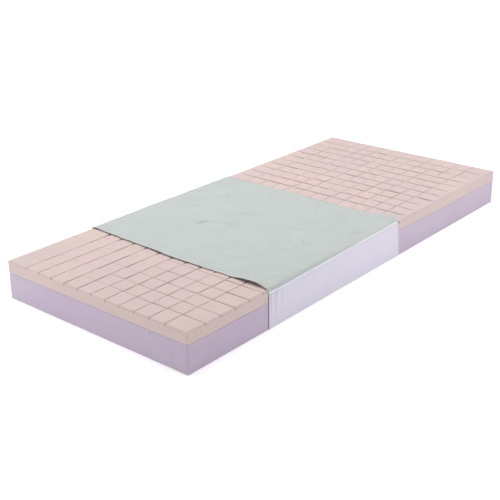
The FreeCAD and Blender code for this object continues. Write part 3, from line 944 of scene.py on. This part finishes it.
def teeth(name, b, up, phase):
    """Moulded teeth: each has a foot clamped on the tape's cord, a waist and a rounded head that hooks its neighbours."""
    lo, hi = b
    sgn = 1 if up else -1
    root, tip = (hi[2], lo[2]) if up else (lo[2], hi[2])
    y0, y1 = lo[1] + 0.05, hi[1] - 0.02
    span = abs(root - tip)
    half = [(0.0, 1.05), (0.22, 1.05), (0.34, 0.72), (0.52, 0.62), (0.66, 0.86), (0.80, 1.0), (0.93, 0.80), (1.0, 0.38)]
    outline = [(+w, t) for t, w in half] + [(-w, t) for t, w in reversed(half)]
    layers = [(y0, 0.72), (y0 + 0.35, 1.0), ((y0 + y1) / 2, 1.02), (y1 - 0.35, 1.0), (y1, 0.72)]
    V, F = [], []
    x = ZX0 + phase
    n = len(outline)
    while x + 1.1 < ZX1:
        b0 = len(V)
        for y, k in layers:
            for w, t in outline:
                tt = 0.5 + (t - 0.5) * (0.94 if k < 1 else 1.0)
                V.append((x + w * k, y, root - sgn * span * tt))
        for a in range(len(layers) - 1):
            for i in range(n):
                j = (i + 1) % n
                F.append((b0 + a * n + i, b0 + a * n + j, b0 + (a + 1) * n + j, b0 + (a + 1) * n + i))
        F.append(tuple(b0 + i for i in range(n))[::-1])
        F.append(tuple(b0 + (len(layers) - 1) * n + i for i in range(n)))
        x += PITCH
    # the cord that the feet are clamped on
    rows, ring = 200, 10
    b0 = len(V)
    cz = root - sgn * 0.55
    for i in range(rows):
        xx = ZX0 + (ZX1 - ZX0) * i / (rows - 1)
        for k in range(ring):
            a = 2 * math.pi * k / ring
            V.append((xx, (y0 + y1) / 2 + 0.80 * math.cos(a), cz + 0.50 * math.sin(a)))
    for i in range(rows - 1):
        for k in range(ring):
            j = (k + 1) % ring
            F.append((b0 + i * ring + k, b0 + i * ring + j, b0 + (i + 1) * ring + j, b0 + (i + 1) * ring + k))
    F.append(tuple(b0 + k for k in range(ring))[::-1])
    F.append(tuple(b0 + (rows - 1) * ring + k for k in range(ring)))
    o = make(name, V, F, smooth=False)
    bm = bmesh.new()
    bm.from_mesh(o.data)
    bmesh.ops.recalc_face_normals(bm, faces=bm.faces)
    bm.to_mesh(o.data)
    bm.free()
    return o


def stitches(name, rows, pitch=4.0, length=2.9, wide=0.55, proud=0.42):
    """Rows of lockstitch on an upright face: (x0, x1, y, z, +1 or -1 for the way the face looks)."""
    V, F = [], []
    m, n = 7, 8
    for x0, x1, y, z, face in rows:
        x = x0
        while x + length < x1:
            b0 = len(V)
            for i in range(m):
                t = i / (m - 1)
                r = math.sin(math.pi * (0.08 + 0.84 * t)) ** 0.5
                dz = 0.12 * math.sin(x * 1.7)
                for k in range(n):
                    a = 2 * math.pi * k / n
                    V.append((x + length * t, y + face * (proud * r * math.cos(a) - 0.05), z + dz * (t - 0.5) + wide / 2 * r * math.sin(a)))
            for i in range(m - 1):
                for k in range(n):
                    j = (k + 1) % n
                    F.append((b0 + i * n + k, b0 + i * n + j, b0 + (i + 1) * n + j, b0 + (i + 1) * n + k))
            F.append(tuple(b0 + k for k in range(n))[::-1])
            F.append(tuple(b0 + (m - 1) * n + k for k in range(n)))
            x += pitch
    o = make(name, V, F)
    bm = bmesh.new()
    bm.from_mesh(o.data)
    bmesh.ops.recalc_face_normals(bm, faces=bm.faces)
    bm.to_mesh(o.data)
    bm.free()
    return o


tape_up, tape_low = tape("zip_tape_up", TU, 201), tape("zip_tape_low", TL, 205)
teeth_up, teeth_low = teeth("zip_teeth_row_up", KU, True, 1.1), teeth("zip_teeth_row_low", KL, False, 3.1)
UP_EDGE, LOW_EDGE = mmbox("cover_side_panel_far_upper")[0][2], mmbox("cover_side_panel_far_lower")[1][2]
zip_stitch = stitches("zip_stitching", [(CX0 + 3, CX1 - 3, OUT_Y + 0.12, UP_EDGE + 2.2, 1), (CX0 + 3, CX1 - 3, OUT_Y + 0.12, LOW_EDGE - 2.2, 1)])

# ------------------------------------------------------------------ flap over the zip
FB, HB, SB = mmbox("zip_flap"), mmbox("zip_flap_hem"), mmbox("zip_flap_seam")
AXIS_Z = FB[1][2]
HANG_Y = FB[1][1] - 0.4


def flap_sheet():
    """One strip of the wall's fabric, joggled out from its top seam and hanging clear of the zip."""
    nu, nv = 300, 30
    X, T = np.meshgrid(np.linspace(FB[0][0], FB[1][0], nu), np.linspace(0, 1, nv), indexing="ij")
    top, low = SB[0][2] + 2.2, FB[0][2] + 0.9
    Z = top + (low - top) * T
    drop = ss(AXIS_Z + 0.8, AXIS_Z - 9.5, Z)
    y_top = SB[0][1] + 0.55
    Y = y_top + (HANG_Y - y_top) * drop
    loose = ss(AXIS_Z - 4, AXIS_Z - 16, Z)
    Y = Y + loose * (0.45 + 0.45 * noise(X, Z * 0.5, 70, 221) + 0.22 * noise(X, Z, 24, 222))
    Y = Y + loose * 0.5 * np.exp(-((X - FB[0][0]) / 9.0) ** 2) + loose * 0.8 * np.exp(-((FB[1][0] - X) / 11.0) ** 2)
    Z = Z + 0.25 * noise(X, 0 * X, 90, 223) * ss(AXIS_Z, low, Z)
    return grid("zip_cover_flap", np.stack([X, Y, Z], 2), flip=True)


def band(name, x0, x1, profile, seed, swell):
    """A folded strip of fabric with that outline, given as (y, z), going round once."""
    nu = 260
    prof = np.array(profile)
    mid = prof.mean(0)
    rows = []
    for x in np.linspace(x0, x1, nu):
        k = 1 + swell * float(noise(np.array([x]), np.array([0.0]), 11, seed)[0])
        off = 0.12 * float(noise(np.array([x]), np.array([5.0]), 60, seed + 1)[0])
        q = mid + (prof - mid) * [k, 1.0] + [off, 0.0]
        rows.append([(x, a, b) for a, b in q])
    P = np.array(rows)
    n, m, _ = P.shape
    f = []
    for i in range(n - 1):
        for k in range(m):
            j = (k + 1) % m
            f.append((i * m + k, i * m + j, (i + 1) * m + j, (i + 1) * m + k))
    f.append(tuple(range(m))[::-1])
    f.append(tuple(range((n - 1) * m, n * m)))
    o = make(name, P.reshape(-1, 3), f)
    bm = bmesh.new()
    bm.from_mesh(o.data)
    bmesh.ops.recalc_face_normals(bm, faces=bm.faces)
    bm.to_mesh(o.data)
    bm.free()
    return o


flap = flap_sheet()
a, b = HANG_Y + 0.25 - 0.95, HANG_Y + 0.25 + 1.0
z0, z1 = HB[0][2], HB[1][2]
hem = band("zip_flap_hem_fold", FB[0][0], FB[1][0], [
    (a + 0.05, z1 - 0.1), (a - 0.02, z1 - 0.8), (a - 0.15, z1 - 3), (a - 0.12, z0 + 4), (a - 0.02, z0 + 1.6), (a + 0.25, z0 + 0.5), ((a + b) / 2, z0),
    (b - 0.25, z0 + 0.5), (b + 0.02, z0 + 1.6), (b + 0.14, z0 + 4), (b + 0.12, z1 - 3), (b + 0.02, z1 - 0.8), (b - 0.1, z1 - 0.1), ((a + b) / 2, z1 - 0.3)], 231, 0.10)
hem_stitch = stitches("zip_flap_stitching", [(FB[0][0] + 3, FB[1][0] - 2, b + 0.13, z1 - 2.3, 1)])
y0, y1 = SB[0][1] - 0.1, SB[1][1] + 0.25
z0, z1 = SB[0][2], SB[1][2]
flap_seam = band("zip_flap_top_band", FB[0][0], FB[1][0], [
    (y0, z1), (y0, z0), ((y0 + y1) / 2, z0 - 0.1), (y1 - 0.15, z0 + 0.3), (y1 + 0.05, z0 + 1.2), (y1 - 0.12, (z0 + z1) / 2), (y1 + 0.05, z1 - 1.2), (y1 - 0.15, z1 - 0.3), ((y0 + y1) / 2, z1 + 0.1)], 241, 0.08)
seam_stitch = stitches("zip_flap_seam_stitching", [(FB[0][0] + 3, FB[1][0] - 2, y1 - 0.02, (z0 + z1) / 2, 1)])

# ------------------------------------------------------------------ camera, floor and light
cam_data = bpy.data.cameras.new("camera")
cam_data.lens, cam_data.sensor_width = 69.07, 36.0
cam_data.clip_start, cam_data.clip_end = 0.05, 200
cam = bpy.data.objects.new("camera", cam_data)
bpy.context.scene.collection.objects.link(cam)
right = Vector((0.646018, -0.763198, -0.01377))
up = Vector((0.305549, 0.242021, 0.920905))
fwd = Vector((0.6995, 0.599129, -0.389544))
R = Matrix((right, up, -fwd)).transposed().to_4x4()
R.translation = Vector((-2.82737, -2.27114, 1.50982))
cam.matrix_world = R
bpy.context.scene.camera = cam

floor = make("floor", [(-30000, -30000, 0), (30000, -30000, 0), (30000, 30000, 0), (-30000, 30000, 0)], [(0, 1, 2, 3)], smooth=False)
fm = Nodes("floor_white")
fm.done((0.86, 0.86, 0.865), 0.9, Specular_IOR_Level=0.1)
away = fm.t.nodes.new("ShaderNodeVectorMath")
away.operation = "LENGTH"
fm.link(fm.tc.outputs["Object"], away.inputs[0])
glow = fm.mix(fm.remap(away.outputs["Value"], 1.4, 3.6, 0, 1), (0.46, 0.46, 0.46), (0.95, 0.95, 0.95))
fm.link(glow, fm.b.inputs["Emission Color"])
fm.b.inputs["Emission Strength"].default_value = 1.0
paint(floor, fm.mat)

world = bpy.data.worlds.new("studio")
bpy.context.scene.world = world
world.use_nodes = True
bg = world.node_tree.nodes["Background"]
bg.inputs[0].default_value = (0.97, 0.98, 1.0, 1)
bg.inputs[1].default_value = 0.13


def area(name, loc, target, size, power, color=(1, 1, 1)):
    d = bpy.data.lights.new(name, "AREA")
    d.shape, d.size, d.size_y = "RECTANGLE", size[0], size[1]
    d.energy, d.color = power, color
    o = bpy.data.objects.new(name, d)
    o.location = loc
    o.rotation_mode = "QUATERNION"
    o.rotation_quaternion = (Vector(target) - Vector(loc)).to_track_quat("-Z", "Y")
    bpy.context.scene.collection.objects.link(o)
    return o


area("top", (0.0, 0.3, 3.4), (0.0, 0.0, 0.1), (3.0, 2.4), 84, (1.0, 0.995, 0.985))
area("back", (-0.3, 3.4, 2.2), (0.0, 0.0, 0.1), (2.6, 1.8), 36, (1.0, 0.995, 0.985))
area("back_left", (-2.6, 2.8, 2.0), (-0.3, 0.1, 0.1), (2.2, 1.8), 20, (1.0, 0.995, 0.985))
area("back_right", (1.7, 2.1, 2.8), (0.0, 0.0, 0.1), (2.4, 2.0), 12)
area("near_end", (-3.0, 1.7, 0.9), (-0.9, 0.2, 0.1), (1.2, 1.0), 20)
area("far_end", (2.7, -0.5, 1.0), (0.95, -0.1, 0.1), (1.0, 0.8), 11)
area("front", (0.9, -4.4, 1.1), (0.3, -0.4, 0.1), (3.0, 1.4), 11)
area("front_high", (0.9, -2.6, 2.4), (0.2, -0.2, 0.1), (1.6, 1.2), 25)
area("front_middle", (0.75, -2.3, 0.75), (0.3, -0.44, 0.08), (1.2, 0.8), 3)

bpy.context.scene.view_settings.view_transform = "Standard"
bpy.context.scene.view_settings.look = "None"

# ------------------------------------------------------------------ looks
pink = foam_material("foam_pink", PINK, tinted(PINK, 1.035, 1.03, 1.0), tinted(PINK, 0.975, 0.98, 1.03), cut=True)
lilac = foam_material("foam_lilac", LILAC, tinted(LILAC, 0.99, 0.96, 1.0), tinted(LILAC, 1.03, 1.07, 1.02))
paint(top_foam, pink)
paint(base_foam, lilac)


def stretch_fabric():
    n = Nodes("stretch_cover_green")
    v = n.coords()
    rib = n.wave(v, 620.0, "X", 0.4)
    course = n.wave(v, 760.0, "Y", 0.4)
    knit = n.math("MULTIPLY", rib, course)
    soft = n.noise(v, 14.0, 3.0)
    fine = n.noise(v, 300.0, 2.0)
    c = n.mix(n.remap(soft, 0.3, 0.7, 0, 1), shade(GREEN, 0.975), shade(GREEN, 1.02))
    c = n.mix(n.remap(knit, 0.0, 1.0, 0.10, 0.0), c, shade(GREEN, 0.7))
    c = n.mix(n.remap(fine, 0.4, 0.7, 0, 0.10), c, shade(GREEN, 0.85))
    h = n.math("ADD", n.math("MULTIPLY", knit, 0.5), n.math("MULTIPLY", fine, 0.5))
    bump = n.bump(h, 0.35, 0.25)
    crush = n.noise(n.coords(scale=(1.0, 2.4, 1.0), rot=(0, 0, 0.4)), 30.0, 4.0, 0.6, 0.4)
    bump = n.bump(crush, 0.45, 1.1, bump)
    return n.done(c, n.remap(soft, 0.3, 0.7, 0.52, 0.62), bump, Specular_IOR_Level=0.32,
                  Sheen_Weight=0.22, Sheen_Roughness=0.45)


def coated_fabric(name, tint, seed_rot=0.0):
    n = Nodes(name)
    v = n.coords()
    a = n.wave(v, 700.0, "X")
    b = n.wave(v, 700.0, "Z")
    w = n.math("MULTIPLY", a, b)
    soft = n.noise(n.coords(scale=(1, 1, 0.35)), 11.0, 3.0)
    fine = n.noise(v, 260.0, 2.0)
    c = n.mix(n.remap(soft, 0.3, 0.7, 0, 1), shade(tint, 0.98), shade(tint, 1.015))
    c = n.mix(n.remap(w, 0.0, 1.0, 0.06, 0.0), c, shade(tint, 0.8))
    bump = n.bump(n.math("ADD", n.math("MULTIPLY", w, 0.5), n.math("MULTIPLY", fine, 0.4)), 0.25, 0.2)
    crush = n.noise(n.coords(scale=(2.2, 1.0, 0.5)), 22.0, 3.0, 0.55, 0.3)
    bump = n.bump(crush, 0.3, 0.8, bump)
    return n.done(c, n.remap(soft, 0.3, 0.7, 0.40, 0.50), bump, Specular_IOR_Level=0.42, Sheen_Weight=0.08)


def twill(name, tint):
    n = Nodes(name)
    v = n.coords(rot=(0.0, math.radians(45), 0.0))
    rib = n.wave(v, 900.0, "X", 0.2)
    cross = n.wave(n.coords(rot=(0.0, math.radians(-45), 0.0)), 380.0, "X", 0.3)
    fuzz = n.noise(n.coords(), 500.0, 2.0)
    h = n.math("ADD", n.math("MULTIPLY", rib, 0.7), n.math("MULTIPLY", cross, 0.4))
    c = n.mix(n.remap(h, 0.2, 1.0, 0, 1), shade(tint, 0.78), tint)
    c = n.mix(n.remap(fuzz, 0.35, 0.7, 0, 0.18), c, shade(tint, 0.7))
    return n.done(c, 0.82, n.bump(n.math("ADD", h, n.math("MULTIPLY", fuzz, 0.5)), 0.6, 0.25), Sheen_Weight=0.25, Sheen_Roughness=0.4, Specular_IOR_Level=0.25)


def resin(name, tint):
    n = Nodes(name)
    f = n.noise(n.coords(), 700.0, 2.0)
    return n.done(n.mix(n.remap(f, 0.3, 0.7, 0, 1), shade(tint, 0.95), tint), n.remap(f, 0.3, 0.7, 0.32, 0.42), n.bump(f, 0.12, 0.1), Specular_IOR_Level=0.5)


def nickel(name):
    n = Nodes(name)
    f = n.noise(n.coords(scale=(1, 1, 6)), 420.0, 3.0)
    wear = n.noise(n.coords(), 150.0, 3.0)
    c = n.mix(n.remap(wear, 0.35, 0.65, 0, 1), (0.60, 0.60, 0.60), (0.72, 0.715, 0.70))
    return n.done(c, n.remap(f, 0.3, 0.7, 0.24, 0.40), n.bump(f, 0.15, 0.08), Metallic=1.0)


def thread(name, tint):
    n = Nodes(name)
    ply = n.wave(n.coords(rot=(0, math.radians(35), 0)), 1600.0, "X")
    return n.done(n.mix(n.remap(ply, 0, 1, 0, 1), shade(tint, 0.8), tint), 0.6, n.bump(ply, 0.4, 0.12), Sheen_Weight=0.2, Specular_IOR_Level=0.3)


green = stretch_fabric()
white = coated_fabric("coated_wall_white", WHITE)
grey = coated_fabric("coated_base_grey", lin(205, 206, 214))
# the seam beads are a white weld, tinted lighter than the wall they join as a painted highlight along the seams
weld = coated_fabric("weld_white_painted_highlight", lin(248, 248, 252))
paint(top_sheet, green)
for o in (near_wall, far_upper, far_lower):
    paint(o, white)
paint(base_sheet_o, grey)
for o in (top_bead_near, top_bead_far, low_bead_near, low_bead_far):
    paint(o, weld)

twill_white = twill("zip_tape_twill", lin(232, 232, 238))
resin_grey = resin("zip_resin_grey", lin(214, 216, 220))
thread_white = thread("thread_white", lin(242, 242, 246))
hem_cloth = coated_fabric("hem_cloth_white", shade(WHITE, 1.04))
for o in (tape_up, tape_low):
    paint(o, twill_white)
    thicken(o, 0.5, 0.0)
for o in (teeth_up, teeth_low):
    paint(o, resin_grey)
for o in (zip_stitch, hem_stitch, seam_stitch):
    paint(o, thread_white)
paint(flap, white)
thicken(flap, 0.7, 0.0)
paint(hem, hem_cloth)
paint(flap_seam, weld)

metal = nickel("zip_nickel")
for node in ("zip_slider", "zip_pull_tab", "zip_end_stops"):
    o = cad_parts[node]
    if not o.material_slots:
        o.data.materials.append(None)
    for k in o.material_slots:
        k.link = "OBJECT"
        k.material = metal
    m = o.modifiers.new("worn_edges", "BEVEL")
    m.width, m.segments, m.limit_method, m.angle_limit = 0.22 * MM, 2, "ANGLE", math.radians(35)
    m.harden_normals = False

thicken(top_sheet, 0.9, 1.0)
for o in (near_wall, far_upper, far_lower):
    thicken(o, 0.8, 1.0)
thicken(base_sheet_o, 0.6, 0.0)

# ------------------------------------------------------------------ what rides on what
for o, body, slot, nodes in (
    (top_foam, "core", "top_foam", ["castellated_top_foam"]), (base_foam, "core", "base_foam", ["base_foam"]),
    (top_sheet, "cover", "stretch_top", ["cover_top_panel"]), (near_wall, "cover", "coated_side", ["cover_side_panel_near"]),
    (far_upper, "cover", "coated_side", ["cover_side_panel_far_upper"]), (far_lower, "cover", "coated_side", ["cover_side_panel_far_lower"]),
    (base_sheet_o, "cover", "coated_base", ["cover_base_panel"]), (top_bead_near, "cover", "seam_weld", ["top_seam_near"]),
    (top_bead_far, "cover", "seam_weld", ["top_seam_far"]), (low_bead_near, "cover", "seam_weld", ["bottom_seam_near"]),
    (low_bead_far, "cover", "seam_weld", ["bottom_seam_far"])):
    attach(o, body)
    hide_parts(*nodes)
for o, body, slot, nodes in (
    (tape_up, "cover", "zip_tape", ["zip_tape_upper"]), (tape_low, "cover", "zip_tape", ["zip_tape_lower"]),
    (teeth_up, "cover", "zip_chain", ["zip_teeth_upper"]), (teeth_low, "cover", "zip_chain", ["zip_teeth_lower"]),
    (zip_stitch, "cover", "hem_binding", []), (seam_stitch, "cover", "hem_binding", []),
    (flap_seam, "cover", "seam_weld", ["zip_flap_seam"]),
    (hem, "zip_flap", "hem_binding", ["zip_flap_hem"]), (hem_stitch, "zip_flap", "hem_binding", [])):
    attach(o, body)
    if nodes:
        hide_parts(*nodes)
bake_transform(flap)
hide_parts("zip_flap")
